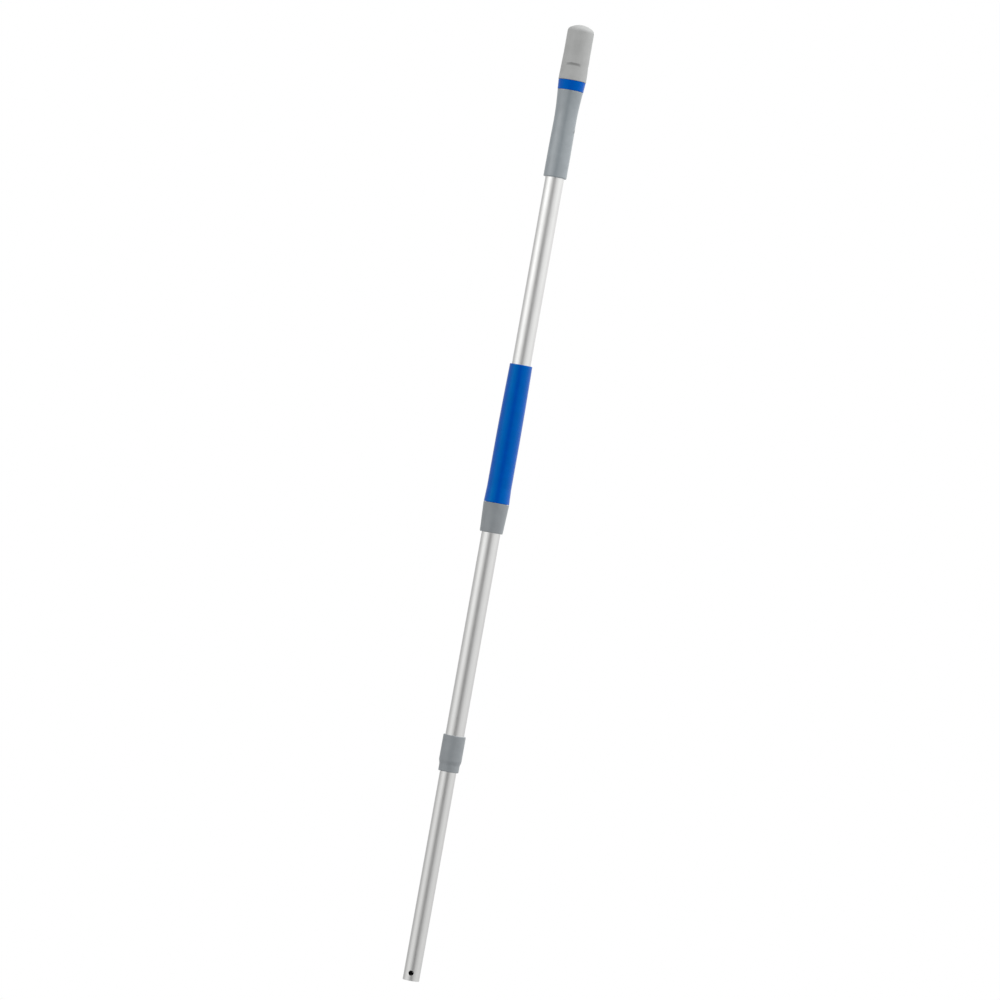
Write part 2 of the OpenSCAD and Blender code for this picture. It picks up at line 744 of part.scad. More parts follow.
// Cone nut with two keys that run in the expander's slots
module cone_nut() {
    key_width = expander_slot - 2 * free_gap;
    key_height = cone_height / 2;
    color([0.16, 0.16, 0.17]) difference() {
        union() {
            translate([0, 0, cone_z]) cylinder(d1 = cone_low_d, d2 = cone_top_d, h = cone_height);
            intersection() {
                disc(expander_d - 2 * free_gap, cone_z, cone_top_z);
                translate([-expander_d, -key_width / 2, cone_top_z - key_height])
                    cube([2 * expander_d, key_width, key_height]);
            }
        }
        hole(lock_spindle_d + 2 * running_gap, cone_z - cut, cone_top_z + cut);
    }
}

// Stop nut at the end of the lock spindle
module stop_nut() {
    color([0.70, 0.70, 0.72]) difference() {
        translate([0, 0, stop_nut_z]) cylinder(d = stop_nut_d, h = stop_nut_height, $fn = 6);
        hole(lock_spindle_d + 2 * seat_gap, stop_nut_z - cut, stop_nut_z + stop_nut_height + cut);
    }
}

outer_tube();
ferrule();
ferrule_bush();
grip_body();
grip_screw();
colour_ring();
tube_plug();
swivel_spindle();
thrust_washer();
swivel_core();
lower_bush();
upper_bush();
spindle_washer();
retaining_ring();
palm_cap();
grip_sleeve();
grip_carrier();
clamp_olive();
clamp_nut();
inner_tube();
socket_stop();
spindle_plug();
plug_pin();
lock_spindle();
lock_washer();
expander();
cone_nut();
stop_nut();
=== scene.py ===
"""Telescopic pole for window cleaning tools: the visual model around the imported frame.

Lengths are in metres. Z runs along the pole from the tool end to the palm cap, and the lock hole
faces -Y.
"""
import json
import math

import bpy
import numpy as np
from mathutils import Matrix, Vector


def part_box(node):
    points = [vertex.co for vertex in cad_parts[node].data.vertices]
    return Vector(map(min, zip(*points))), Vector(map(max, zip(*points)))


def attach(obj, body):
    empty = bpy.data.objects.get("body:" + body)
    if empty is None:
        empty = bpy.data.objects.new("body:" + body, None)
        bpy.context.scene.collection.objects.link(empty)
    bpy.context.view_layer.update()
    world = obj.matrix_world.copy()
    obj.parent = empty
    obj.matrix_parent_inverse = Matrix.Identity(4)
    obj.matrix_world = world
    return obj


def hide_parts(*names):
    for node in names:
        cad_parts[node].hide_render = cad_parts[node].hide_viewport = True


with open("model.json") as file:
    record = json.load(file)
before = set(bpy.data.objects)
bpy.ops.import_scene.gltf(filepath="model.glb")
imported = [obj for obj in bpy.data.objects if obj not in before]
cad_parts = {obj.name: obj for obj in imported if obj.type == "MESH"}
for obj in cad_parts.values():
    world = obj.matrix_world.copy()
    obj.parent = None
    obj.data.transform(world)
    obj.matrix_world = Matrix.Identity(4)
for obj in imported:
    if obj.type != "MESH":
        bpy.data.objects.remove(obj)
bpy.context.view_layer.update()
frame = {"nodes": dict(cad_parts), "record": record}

MM = 0.001
TURNS = 128                     # steps round the tubes and the moulded pieces
CAP_TURNS = 324                 # steps round the palm cap, which carries three scoops
COVE_ROWS, BROW_ROWS = 12, 6    # steps up the cove and the brow of a scoop's ledge
FILLET_STEPS = 6                # steps round a small rounded edge
SUPPORT = 0.4 * MM              # a further point this far beyond a rounded edge keeps a side flat
POLE_POINT_R = 0.001 * MM       # radius of the smallest ring round the axis


# ---------------- sizes taken from the frame

def radius_of(node):
    """Outside radius of a round node: half of its box along X."""
    low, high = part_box(node)
    return (high.x - low.x) / 2


def span_of(node):
    """Lowest and highest Z of a node."""
    low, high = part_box(node)
    return low.z, high.z


def middle_of(node):
    """Height of the middle of a node."""
    return sum(span_of(node)) / 2


OUTER_TUBE_R = radius_of("outer_tube")
INNER_TUBE_R = radius_of("inner_tube")
TUBE_WALL = 1.2 * MM
SOCKET_WALL = 1.0 * MM                  # wall of the inner tube round its sized socket
BORE_FROM = INNER_TUBE_R - 0.75 * MM    # metal nearer to the axis than this lies inside a tube
SEAT_GAP = 0.05 * MM                    # between pieces that are seated on each other
SLIDE_GAP = 0.2 * MM                    # between a piece that slides and its guide
FREE_GAP = 0.3 * MM                     # between pieces that turn or pass freely
CORE_R = radius_of("swivel_core") + SEAT_GAP
RING_FLARE = 0.95 * MM                  # how much the colour ring widens to its top
SCREW_Z = middle_of("grip_screw")
SCREW_SEAT_R = OUTER_TUBE_R + 1.2 * MM  # the side screw's head sits this far from the pole's axis
SCREW_HOLE_R = 1.5 * MM


# ---------------- meshes

def make_piece(name, points, faces, edge=None):
    """A smooth mesh object at the origin from an array of points and a list of face arrays.

    The float attribute "edge" is from 0 to 1 near an edge that wears, and from 0 to -1 in a hollow
    that gets painted shade: its colour is darkened where shade falls.
    """
    mesh = bpy.data.meshes.new(name)
    mesh.from_pydata(points.tolist(), [], [face for block in faces for face in block.tolist()])
    mesh.polygons.foreach_set("use_smooth", np.ones(len(mesh.polygons), bool))
    values = np.zeros(len(points)) if edge is None else edge
    attribute = mesh.attributes.new("edge", "FLOAT", "POINT")
    attribute.data.foreach_set("value", values.astype(np.float32))
    mesh.update()
    piece = bpy.data.objects.new(name, mesh)
    bpy.context.scene.collection.objects.link(piece)
    return piece


def round_points(radius, angle, height):
    """Points (r cos a, r sin a, z) of a grid, row by row."""
    grid = np.broadcast_arrays(radius * np.cos(angle), radius * np.sin(angle), height)
    return np.stack(grid, -1).reshape(-1, 3)


def grid_faces(rows, columns, close_rows=False, first=0):
    """Quads of a grid whose columns close on themselves, for points numbered from first.

    They face outwards when the grid's rows climb the outside.
    """
    row = np.arange(rows if close_rows else rows - 1)[:, None]
    column = np.arange(columns)[None, :]
    above = (row + 1) % rows
    beside = (column + 1) % columns
    corners = [row * columns + column, row * columns + beside,
               above * columns + beside, above * columns + column]
    return first + np.stack(corners, -1).reshape(-1, 4)


def fan(first, columns, centre, flip=False):
    """Triangles that join a ring of points, numbered from first, to one centre point."""
    here = first + np.arange(columns)
    beside = np.roll(here, -1)
    pair = [beside, here] if flip else [here, beside]
    return np.stack(pair + [np.full(columns, centre)], -1)


def rounded(corners):
    """An outline of (radius, height) points with its corners rounded, and each point's edge value.

    corners is a list of (radius, height, fillet). At each corner with a fillet, the two sides are
    cut back by fillet * tan(turn / 2) and joined by a circular arc that is tangent to both. A
    further point on each side, one SUPPORT away, keeps the shading of the flat sides flat.
    """
    most_cut, most_support = 0.45, 0.49         # shares of a side's length
    spots = np.array([c[:2] for c in corners], float)
    points = []
    edges = []
    for i, (_, _, fillet) in enumerate(corners):
        here = spots[i]
        back = spots[i - 1] - here
        ahead = spots[(i + 1) % len(spots)] - here
        back_length, ahead_length = np.linalg.norm(back), np.linalg.norm(ahead)
        back, ahead = back / back_length, ahead / ahead_length
        if fillet == 0:
            points.append(here[None])
            edges.append([0.0])
            continue
        half = np.arccos(np.clip(back @ ahead, -1, 1)) / 2
        cut = min(fillet / math.tan(half), most_cut * back_length, most_cut * ahead_length)
        radius = cut * math.tan(half)
        middle = here + (back + ahead) / np.linalg.norm(back + ahead) * radius / math.sin(half)
        start, end = here + back * cut, here + ahead * cut
        share = np.linspace(0, 1, FILLET_STEPS + 1)[:, None]
        sweep = math.pi - 2 * half
        arc = (np.sin((1 - share) * sweep) * (start - middle)
               + np.sin(share * sweep) * (end - middle))
        arc = middle + arc / math.sin(sweep)
        before = here + back * min(cut + SUPPORT, most_support * back_length)
        after = here + ahead * min(cut + SUPPORT, most_support * ahead_length)
        points.append(np.vstack([before[None], arc, after[None]]))
        edges.append([0.0] + [1.0] * (FILLET_STEPS + 1) + [0.0])
    return np.vstack(points), np.concatenate(edges)


def lathe(name, outline, edge):
    """A closed outline of (radius, height) points carried round Z, closed both ways."""
    ahead = np.roll(outline, -1, 0)
    area = np.sum(outline[:, 0] * ahead[:, 1] - ahead[:, 0] * outline[:, 1])
    angle = np.arange(TURNS) * 2 * np.pi / TURNS
    points = round_points(outline[:, :1], angle, outline[:, 1:])
    faces = grid_faces(len(outline), TURNS, close_rows=True)
    if area < 0:
        faces = faces[:, ::-1]
    return make_piece(name, points, [faces], np.repeat(edge, TURNS))


def quarter_round(distance, radius):
    """How far a rounded edge falls back at a distance d from it: r - sqrt(r^2 - (r - d)^2)."""
    short = np.clip(radius - distance, 0, radius)
    return radius - np.sqrt(radius * radius - short * short)


def block_border(cells):
    """Steps up and across from a square block's lower corner, for each point round its border."""
    up = np.arange(cells)
    full, none = np.full(cells, cells), np.zeros(cells, int)
    sides = (up, full), (full, cells - up), (cells - up, none), (none, up)
    return np.concatenate([np.stack(side, -1) for side in sides]).T


def hole_patches(hole, first_row, heights, skins, edge_radius, count):
    """One drilled hole: a polar patch in each skin and the wall between them.

    first_row is the lowest row of the hole's block, and new points are numbered from count. It
    gives lists of points, faces and edge values, and the new count.
    """
    column, cells, height, rings = hole
    step = 2 * np.pi / TURNS
    row, across = block_border(cells)
    row, across = row + first_row, across - cells // 2
    on_skin = row * TURNS + (column + across) % TURNS
    spokes = len(row)
    outward = np.array([math.cos(column * step), math.sin(column * step), 0.0])
    sideways = np.array([-outward[1], outward[0], 0.0])
    upward = np.array([0, 0, 1.0])
    share = np.array([0, 0.02, 0.06, 0.14, 0.3, 0.6])[:, None]      # of the way to the border
    points, faces, edges, mouths, bearings = [], [], [], [], []
    firsts = 0, len(heights) * TURNS
    for (side, skin), (mouth_r, _), skin_first in zip(skins, (rings[0], rings[-1]), firsts):
        a_border = skin(heights[row]) * np.sin(across * step)
        b_border = heights[row] - height
        bearing = np.arctan2(b_border, a_border)
        a = mouth_r * np.cos(bearing) * (1 - share) + a_border * share
        b = mouth_r * np.sin(bearing) * (1 - share) + b_border * share
        from_hole = np.hypot(a, b) - mouth_r
        depth = np.sqrt(skin(height + b) ** 2 - a ** 2)
        depth = depth - side * quarter_round(from_hole, edge_radius)
        patch = (depth[..., None] * outward + a[..., None] * sideways
                 + (height + b)[..., None] * upward)
        ids = count + np.arange(share.size * spokes).reshape(share.size, spokes)
        ids = np.vstack([ids, skin_first + on_skin])
        count += share.size * spokes
        points.append(patch.reshape(-1, 3))
        edges.append((from_hole < edge_radius).astype(float).ravel())
        beside = np.roll(ids, -1, 1)
        quads = np.stack([ids[:-1], ids[1:], beside[1:], beside[:-1]], -1).reshape(-1, 4)
        faces.append(quads if side > 0 else quads[:, ::-1])
        mouths.append(ids[0])
        bearings.append(bearing)
    across_hole, up_hole = np.cos(bearings[0])[:, None], np.sin(bearings[0])[:, None]
    wall = [mouths[0]]
    for hole_r, distance in rings[1:-1]:
        points.append(distance * outward + hole_r * across_hole * sideways
                      + (height + hole_r * up_hole) * upward)
        edges.append(np.zeros(spokes))
        wall.append(count + np.arange(spokes))
        count += spokes
    wall.append(mouths[1])
    for upper, lower in zip(wall[:-1], wall[1:]):
        faces.append(np.stack([upper, np.roll(upper, -1), np.roll(lower, -1), lower], -1))
    return points, faces, edges, count


def tube_with_holes(name, low, high, outside, inside, holes, edge_radius=0.25 * MM, lines=()):
    """A round wall between two radii, with round holes drilled square to its axis.

    outside and inside give the radius at each height, and lines are further heights that get a row
    of points. Away from the holes both skins are grids of height and angle. Round each hole a
    square block of the grid is left out and filled by a polar patch, whose rings run from the
    hole's circle to the block's border, and rings down the hole's wall join the two skins. A hole
    is (column, cells, height, rings), and rings is a list of (hole radius, distance from the axis
    or None for a skin). Both ends and each hole's mouth are rounded by quarter_round.
    """
    step = 2 * np.pi / TURNS
    angle = np.arange(TURNS) * step
    near_end = np.array([0, 0.1, 0.3, 0.6, 1.0, 2.0]) * edge_radius
    heights = [low + near_end, high - near_end, np.asarray(lines, float)]
    blocks_low = []
    for _, cells, height, _ in holes:
        half = cells * step * outside(np.array([height]))[0] / 2
        heights.append(np.linspace(height - half, height + half, cells + 1))
        blocks_low.append(height - half)
    heights = np.unique(np.round(np.concatenate(heights), 9))
    first_rows = [int(np.argmin(abs(heights - block_low))) for block_low in blocks_low]
    rows = len(heights)
    keep = np.ones((rows - 1, TURNS), bool)
    for first_row, (column, cells, _, _) in zip(first_rows, holes):
        columns = np.arange(column - cells // 2, column + cells // 2) % TURNS
        keep[first_row:first_row + cells, columns] = False

    skins = (1, outside), (-1, inside)
    from_end = np.minimum(heights - low, high - heights)
    inner_first = rows * TURNS
    points, faces, edges = [], [], []
    for (side, skin), first in zip(skins, (0, inner_first)):
        radius = skin(heights) - side * quarter_round(from_end, edge_radius)
        points.append(round_points(radius[:, None], angle, heights[:, None]))
        edges.append(np.repeat(from_end < edge_radius, TURNS).astype(float))
        quads = grid_faces(rows, TURNS, first=first)[keep.ravel()]
        faces.append(quads if side > 0 else quads[:, ::-1])
    here = np.arange(TURNS)
    for outer in (here, (rows - 1) * TURNS + here[::-1]):
        inner = inner_first + outer
        faces.append(np.stack([outer, inner, np.roll(inner, -1), np.roll(outer, -1)], -1))

    count = 2 * rows * TURNS
    for first_row, hole in zip(first_rows, holes):
        more = hole_patches(hole, first_row, heights, skins, edge_radius, count)
        for known, new in zip((points, faces, edges), more):
            known.extend(new)
        count = more[-1]
    return make_piece(name, np.vstack(points), faces, np.concatenate(edges))


# ---------------- materials

def shader_group(name, numbers, outputs):
    """A shader node group with the vector input Where, inputs for numbers, and float outputs.

    It gives the group, its wiring, and the sockets inside it by name.
    """
    group = bpy.data.node_groups.new(name, "ShaderNodeTree")
    sockets = group.interface
    sockets.new_socket("Where", in_out="INPUT", socket_type="NodeSocketVector")
    for label, value in numbers.items():
        socket = sockets.new_socket(label, in_out="INPUT", socket_type="NodeSocketFloat")
        socket.default_value = value
    for label in outputs:
        sockets.new_socket(label, in_out="OUTPUT", socket_type="NodeSocketFloat")
    given, result = group.nodes.new("NodeGroupInput"), group.nodes.new("NodeGroupOutput")
    return group, Wiring(group), given.outputs, result.inputs


class Wiring:
    """Short ways to add nodes to one tree. A socket's value is a number, a tuple or a socket."""

    def __init__(self, tree):
        self.tree = tree

    def put(self, socket, value):
        if isinstance(value, bpy.types.NodeSocket):
            self.tree.links.new(value, socket)
        elif value is not None:
            socket.default_value = value

    def node(self, kind, values=(), **settings):
        made = self.tree.nodes.new("ShaderNode" + kind)
        for key, value in settings.items():
            setattr(made, key, value)
        for key, value in dict(values).items():
            self.put(made.inputs[key], value)
        return made

    def math(self, operation, a, b=None, c=None, clamp=False):
        made = self.node("Math", operation=operation, use_clamp=clamp)
        for socket, value in zip(made.inputs, (a, b, c)):
            self.put(socket, value)
        return made.outputs[0]

    def vector(self, operation, a, b=None):
        made = self.node("VectorMath", operation=operation)
        self.put(made.inputs[0], a)
        self.put(made.inputs[1], b)
        return made.outputs["Value" if operation in ("LENGTH", "DOT_PRODUCT") else "Vector"]

    def from_axis(self, where):
        """Distance from the pole's axis."""
        return self.vector("LENGTH", self.vector("MULTIPLY", where, (1.0, 1.0, 0.0)))

    def noise(self, where, scale, detail=2.0, roughness=0.5, distortion=0.0):
        values = {"Vector": where, "Scale": scale, "Detail": detail,
                  "Roughness": roughness, "Distortion": distortion}
        return self.node("TexNoise", values).outputs["Fac"]

    def spread(self, value, low, high, to_low=0.0, to_high=1.0):
        """Smooth step of a value from low to high, put out between to_low and to_high."""
        values = {"Value": value, "From Min": low, "From Max": high,
                  "To Min": to_low, "To Max": to_high}
        made = self.node("MapRange", interpolation_type="SMOOTHSTEP")
        for key, given in values.items():
            self.put(made.inputs[key], given)
        return made.outputs["Result"]

    def blend(self, share, a, b):
        """Colour a turning into colour b by a share from 0 to 1."""
        made = self.node("Mix", data_type="RGBA")
        self.put(made.inputs[0], share)
        self.put(made.inputs[6], a)
        self.put(made.inputs[7], b)
        return made.outputs[2]

    def coat(self, body, mask, amount, colour, clamp=False):
        """Colour body covered by another colour where a mask is high, by at most an amount."""
        return self.blend(self.math("MULTIPLY", mask, amount, clamp=clamp), body, colour)

    def add(self, value, mask, amount, clamp=False):
        """A value with an amount of a mask added."""
        return self.math("MULTIPLY_ADD", mask, amount, value, clamp=clamp)

    def bump(self, shader, height, strength, distance):
        """Give a shader's sockets a normal that follows a height."""
        made = self.node("Bump", {"Strength": strength, "Distance": distance, "Height": height})
        self.put(shader["Normal"], made.outputs[0])

    def group(self, group, **values):
        made = self.node("Group")
        made.node_tree = group
        for key, value in values.items():
            self.put(made.inputs[key.replace("_", " ")], value)
        return made.outputs


def build_die_lines():
    """Fine straight lines along the pole, as a die leaves them: noise drawn out along Z."""
    group, w, given, result = shader_group(
        "Die lines", {"Lines per metre": 1600.0}, ["Lines", "Bands"])
    drawn_out, band_share = 0.0035, 0.16
    density = given["Lines per metre"]
    where = w.vector("MULTIPLY", given["Where"], (1.0, 1.0, drawn_out))
    bands = w.noise(where, w.math("MULTIPLY", density, band_share))
    w.put(result["Lines"], w.noise(where, density, detail=3.0, roughness=0.6))
    w.put(result["Bands"], bands)
    return group


def build_lathe_lines():
    """Fine rings round the axis, as turning leaves them: noise of Z and of the radius only."""
    group, w, given, result = shader_group(
        "Lathe lines", {"Lines per metre": 5000.0}, ["Lines"])
    height = w.node("SeparateXYZ", {0: given["Where"]}).outputs[2]
    rings = w.node("CombineXYZ", {0: w.from_axis(given["Where"]), 2: height}).outputs[0]
    lines = w.noise(rings, given["Lines per metre"], detail=3.0, roughness=0.65)
    w.put(result["Lines"], lines)
    return group


def build_moulded_grain():
    """Spark-eroded mould texture: pits and coarser grains as a height, clouds and flow lines."""
    group, w, given, result = shader_group(
        "Moulded grain", {"Grains per metre": 3500.0}, ["Height", "Clouds", "Flow"])
    where = given["Where"]
    density = given["Grains per metre"]
    grain_share, pit_part, grain_part = 0.37, 0.6, 0.4
    clouds_per_metre, flows_per_metre, drawn_out = 70.0, 55.0, 0.25
    pits = w.noise(where, density, detail=3.0, roughness=0.62)
    grains = w.noise(where, w.math("MULTIPLY", density, grain_share))
    clouds = w.noise(where, clouds_per_metre, detail=5.0, roughness=0.6)
    along = w.vector("MULTIPLY", where, (1.0, 1.0, drawn_out))
    flow = w.noise(along, flows_per_metre, detail=4.0, roughness=0.55, distortion=0.6)
    w.put(result["Height"], w.add(w.math("MULTIPLY", pits, pit_part), grains, grain_part))
    w.put(result["Clouds"], clouds)
    w.put(result["Flow"], flow)
    return group


def build_worn_edges():
    """Wear mask: strongest where the edge attribute is high, broken into patches by noise."""
    group, w, given, result = shader_group(
        "Worn edges", {"Edge": 0.0, "Amount": 0.5}, ["Wear"])
    patches_per_metre, break_up = 260.0, 0.9
    patches = w.noise(given["Where"], patches_per_metre, detail=5.0, roughness=0.65)
    near = w.math("MULTIPLY", given["Edge"], given["Amount"])
    broken = w.add(near, w.math("SUBTRACT", patches, 0.5), break_up)
    wear = w.math("MULTIPLY", w.spread(broken, 0.35, 0.85), given["Edge"])
    w.put(result["Wear"], wear)
    return group


def build_handling_marks():
    """Hairline scratches in three directions, in scattered patches, and a blotchy dust film."""
    group, w, given, result = shader_group(
        "Handling marks", {"Amount": 0.5}, ["Scratches", "Film"])
    where = given["Where"]
    hairs_per_metre, hair_width, patches_per_metre, blotches_per_metre = 1500.0, 0.012, 95.0, 26.0
    directions = [                      # how each set is turned, drawn out and shifted
        ((0.3, 0.5, 0.2), (1.0, 1.0, 0.03), 0.0),
        ((0.9, -0.4, 1.1), (0.03, 1.0, 1.0), 3.1),
        ((-0.5, 1.2, 0.4), (1.0, 0.04, 1.0), 7.7),
    ]
    total = None
    for turn, pull, shift in directions:
        mapping = {"Vector": where, "Rotation": turn, "Location": (shift, shift, shift)}
        turned = w.node("Mapping", mapping).outputs[0]
        drawn_out = w.vector("MULTIPLY", turned, pull)
        lines = w.noise(drawn_out, hairs_per_metre, detail=1.0, roughness=0.4)
        from_line = w.math("ABSOLUTE", w.math("SUBTRACT", lines, 0.5))
        hair = w.spread(from_line, 0.0, hair_width, to_low=1.0, to_high=0.0)
        hair = w.math("MULTIPLY", hair, w.spread(w.noise(turned, patches_per_metre), 0.55, 0.72))
        total = hair if total is None else w.math("MAXIMUM", total, hair)
    blotches = w.noise(where, blotches_per_metre, detail=6.0, roughness=0.68, distortion=0.4)
    film = w.spread(blotches, 0.42, 0.75)
    w.put(result["Scratches"], w.math("MULTIPLY", total, given["Amount"]))
    w.put(result["Film"], w.math("MULTIPLY", film, given["Amount"]))
    return group


DIE_LINES = build_die_lines()
LATHE_LINES = build_lathe_lines()
MOULDED_GRAIN = build_moulded_grain()
WORN_EDGES = build_worn_edges()
HANDLING_MARKS = build_handling_marks()


def new_material(name):
    """A node material: its wiring, its shader's sockets, object coordinates and edge attribute."""
    made = bpy.data.materials.new(name)
    made.use_nodes = True
    made.node_tree.nodes.clear()
    w = Wiring(made.node_tree)
    output = w.node("OutputMaterial")
    shader = w.node("BsdfPrincipled")
    w.put(output.inputs["Surface"], shader.outputs[0])
    where = w.node("TexCoord").outputs["Object"]
    edge = w.node("Attribute", attribute_name="edge").outputs["Fac"]
    return made, w, shader.inputs, where, edge


def shade(colour, factor):
    """The same colour made lighter or darker."""
    return tuple(channel * factor for channel in colour[:3]) + (1.0,)


def moulded_finish(name, colour, roughness, grain=3500.0, depth=0.012, tint=0.06, marks=0.35,
                   wear=0.4, scuff=None, specular=0.5, glow=(1.0, 1.0, 1.0, 1.0)):
    """Moulded plastic: cloudy tint, flow lines, mould grain, scratches, dust and pale worn edges.

    Painted shade darkens the hollows, where the edge value is below 0. grain is in grains per
    metre, depth is the grain's depth in mm, scuff is the colour of worn places, and glow is the
    colour of the gloss.
    """
    made, w, shader, where, edge = new_material(name)
    grains = w.group(MOULDED_GRAIN, Where=where, Grains_per_metre=grain)
    handling = w.group(HANDLING_MARKS, Where=where, Amount=marks)
    worn = w.group(WORN_EDGES, Where=where, Edge=edge, Amount=wear)
    scuff = scuff or shade(colour, 1.35)
    clouds = w.spread(grains["Clouds"], 0.3, 0.7)
    body = w.blend(clouds, shade(colour, 1 - tint), shade(colour, 1 + tint))
    body = w.coat(body, w.spread(grains["Flow"], 0.35, 0.65), tint, shade(colour, 1.25))
    body = w.coat(body, w.spread(grains["Height"], 0.62, 0.4), 0.22, shade(colour, 0.72))
    body = w.coat(body, handling["Film"], 0.18, scuff)
    body = w.coat(body, handling["Scratches"], 0.55, scuff)
    body = w.coat(body, worn["Wear"], 0.6, scuff)
    # Painted shade: where the edge value is below 0, in hollows, the colour is darkened towards 0.6
    # of itself
    body = w.coat(body, edge, -0.7, shade(colour, 0.6), clamp=True)
    w.put(shader["Base Color"], body)
    rough = w.add(roughness - 0.04, grains["Clouds"], 0.08)
    rough = w.add(rough, handling["Film"], 0.12)
    w.put(shader["Roughness"], w.add(rough, worn["Wear"], -0.12, clamp=True))
    height = w.add(grains["Height"], handling["Scratches"], -0.5)
    w.bump(shader, height, 0.5, depth * MM)
    shader["Specular IOR Level"].default_value = specular
    shader["Specular Tint"].default_value = glow
    return made


def anodised_finish(name, colour, roughness):
    """Satin anodised aluminium tube: die lines, faint bands, sliding scratches and bright edges.

    Inside the tubes, nearer to the axis than BORE_FROM, the colour is painted nearly black, as
    painted shade for the dark inside, and the metal there is dull and not metallic.
    """
    made, w, shader, where, edge = new_material(name)
    lines = w.group(DIE_LINES, Where=where, Lines_per_metre=1700.0)
    handling = w.group(HANDLING_MARKS, Where=where, Amount=0.5)
    worn = w.group(WORN_EDGES, Where=where, Edge=edge, Amount=0.9)
    body = w.blend(w.spread(lines["Lines"], 0.3, 0.7), shade(colour, 0.94), shade(colour, 1.04))
    body = w.blend(w.spread(lines["Bands"], 0.35, 0.65), body, shade(colour, 0.97))
    body = w.coat(body, handling["Film"], 0.25, shade(colour, 0.86))
    body = w.coat(body, handling["Scratches"], 0.5, (0.93, 0.93, 0.93, 1.0))
    body = w.coat(body, worn["Wear"], 0.8, (0.95, 0.95, 0.95, 1.0))
    # Painted shade: the inside of each tube is coloured nearly black to stand in for the shade
    # inside it
    bore = w.spread(w.from_axis(where), BORE_FROM, BORE_FROM - 0.15 * MM)
    w.put(shader["Base Color"], w.blend(bore, body, (0.012, 0.012, 0.013, 1.0)))
    rough = w.add(roughness - 0.05, lines["Lines"], 0.10)
    rough = w.add(rough, handling["Film"], 0.08)
    rough = w.add(rough, worn["Wear"], -0.10)
    w.put(shader["Roughness"], w.add(rough, bore, 0.45, clamp=True))
    w.put(shader["Metallic"], w.math("SUBTRACT", 1.0, bore, clamp=True))
    height = w.add(w.add(lines["Lines"], lines["Bands"], 0.6), handling["Scratches"], -0.8)
    w.bump(shader, height, 0.35, 0.006 * MM)
    shader["Anisotropic"].default_value = 0.8
    return made


def turned_finish(name, colour, roughness, worn_colour=(0.86, 0.85, 0.83, 1.0), lines=5000.0):
    """Turned steel: fine lathe rings, a light oil film, scratches and bright worn edges.

    lines is in rings per metre.
    """
    made, w, shader, where, edge = new_material(name)
    rings = w.group(LATHE_LINES, Where=where, Lines_per_metre=lines)
    handling = w.group(HANDLING_MARKS, Where=where, Amount=0.6)
    worn = w.group(WORN_EDGES, Where=where, Edge=edge, Amount=0.8)
    body = w.blend(w.spread(rings["Lines"], 0.3, 0.7), shade(colour, 0.86), shade(colour, 1.06))
    body = w.coat(body, handling["Film"], 0.4, shade(colour, 0.7))
    body = w.coat(body, handling["Scratches"], 0.6, worn_colour)
    body = w.coat(body, worn["Wear"], 0.8, worn_colour)
    w.put(shader["Base Color"], body)
    rough = w.add(roughness - 0.06, rings["Lines"], 0.12)
    w.put(shader["Roughness"], w.add(rough, handling["Film"], 0.1, clamp=True))
    w.bump(shader, rings["Lines"], 0.4, 0.008 * MM)
    shader["Metallic"].default_value = 1.0
    shader["Anisotropic"].default_value = 0.3
    return made


NO_RED = (0.0, 1.0, 1.0, 1.0)
MOULDED = {
    "cap_plastic": dict(colour=(0.39, 0.395, 0.39), roughness=0.50, grain=3000.0, depth=0.016),
    "grip_plastic": dict(colour=(0.272, 0.305, 0.327), roughness=0.17, grain=3400.0, depth=0.008,
                         specular=1.0),
    "collar_plastic": dict(colour=(0.25, 0.27, 0.285), roughness=0.30, grain=3400.0),
    "blue_plastic": dict(colour=(0.0002, 0.084, 0.47), roughness=0.25, grain=3600.0, depth=0.010,
                         marks=0.2, scuff=(0.01, 0.15, 0.52, 1.0), specular=0.3, glow=NO_RED),
    "blue_sleeve": dict(colour=(0.0002, 0.058, 0.42), roughness=0.25, grain=2600.0, depth=0.014,
                        marks=0.2, scuff=(0.01, 0.13, 0.48, 1.0), specular=0.6, glow=NO_RED),
    "black_nylon": dict(colour=(0.018, 0.018, 0.020), roughness=0.45,
                        scuff=(0.10, 0.10, 0.105, 1.0)),
    "white_acetal": dict(colour=(0.76, 0.76, 0.73), roughness=0.34, depth=0.008,
                         scuff=(0.55, 0.54, 0.51, 1.0)),
    "red_nylon": dict(colour=(0.48, 0.035, 0.018), roughness=0.42, scuff=(0.62, 0.22, 0.18, 1.0)),
}
TURNED = {
    "steel": dict(colour=(0.56, 0.56, 0.57), roughness=0.28),
    "spring_steel": dict(colour=(0.16, 0.16, 0.17), roughness=0.38, lines=3000.0),
    "black_screw": dict(colour=(0.035, 0.035, 0.037), roughness=0.40,
                        worn_colour=(0.45, 0.44, 0.43, 1.0), lines=4200.0),
}
FINISHES = {"anodised_tube": anodised_finish("anodised_tube", (0.80, 0.80, 0.79), 0.29)}
FINISHES.update({slot: moulded_finish(slot, **look) for slot, look in MOULDED.items()})
FINISHES.update({slot: turned_finish(slot, **look) for slot, look in TURNED.items()})
REPLACED = set()


def place(piece, body, node, slot):
    """Put a new piece on its body, in place of its CAD node, with the finish of its slot."""
    piece.data.materials.append(FINISHES[slot])
    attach(piece, body)
    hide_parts(node)
    REPLACED.add(node)


# ---------------- tubes

def plain_skin(radius):
    """A skin whose radius is the same at every height."""
    return lambda height: np.full(np.shape(height), radius)


def outer_tube():
    """The outer tube: a straight round wall with one hole for the side screw."""
    low, high = span_of("outer_tube")
    hole = (0, 8, SCREW_Z, [(SCREW_HOLE_R, None), (SCREW_HOLE_R, None)])
    inside = plain_skin(OUTER_TUBE_R - TUBE_WALL)
    tube = tube_with_holes("outer_tube_skin", low, high, plain_skin(OUTER_TUBE_R), inside, [hole])
    place(tube, "outer_pole", "outer_tube", "anodised_tube")


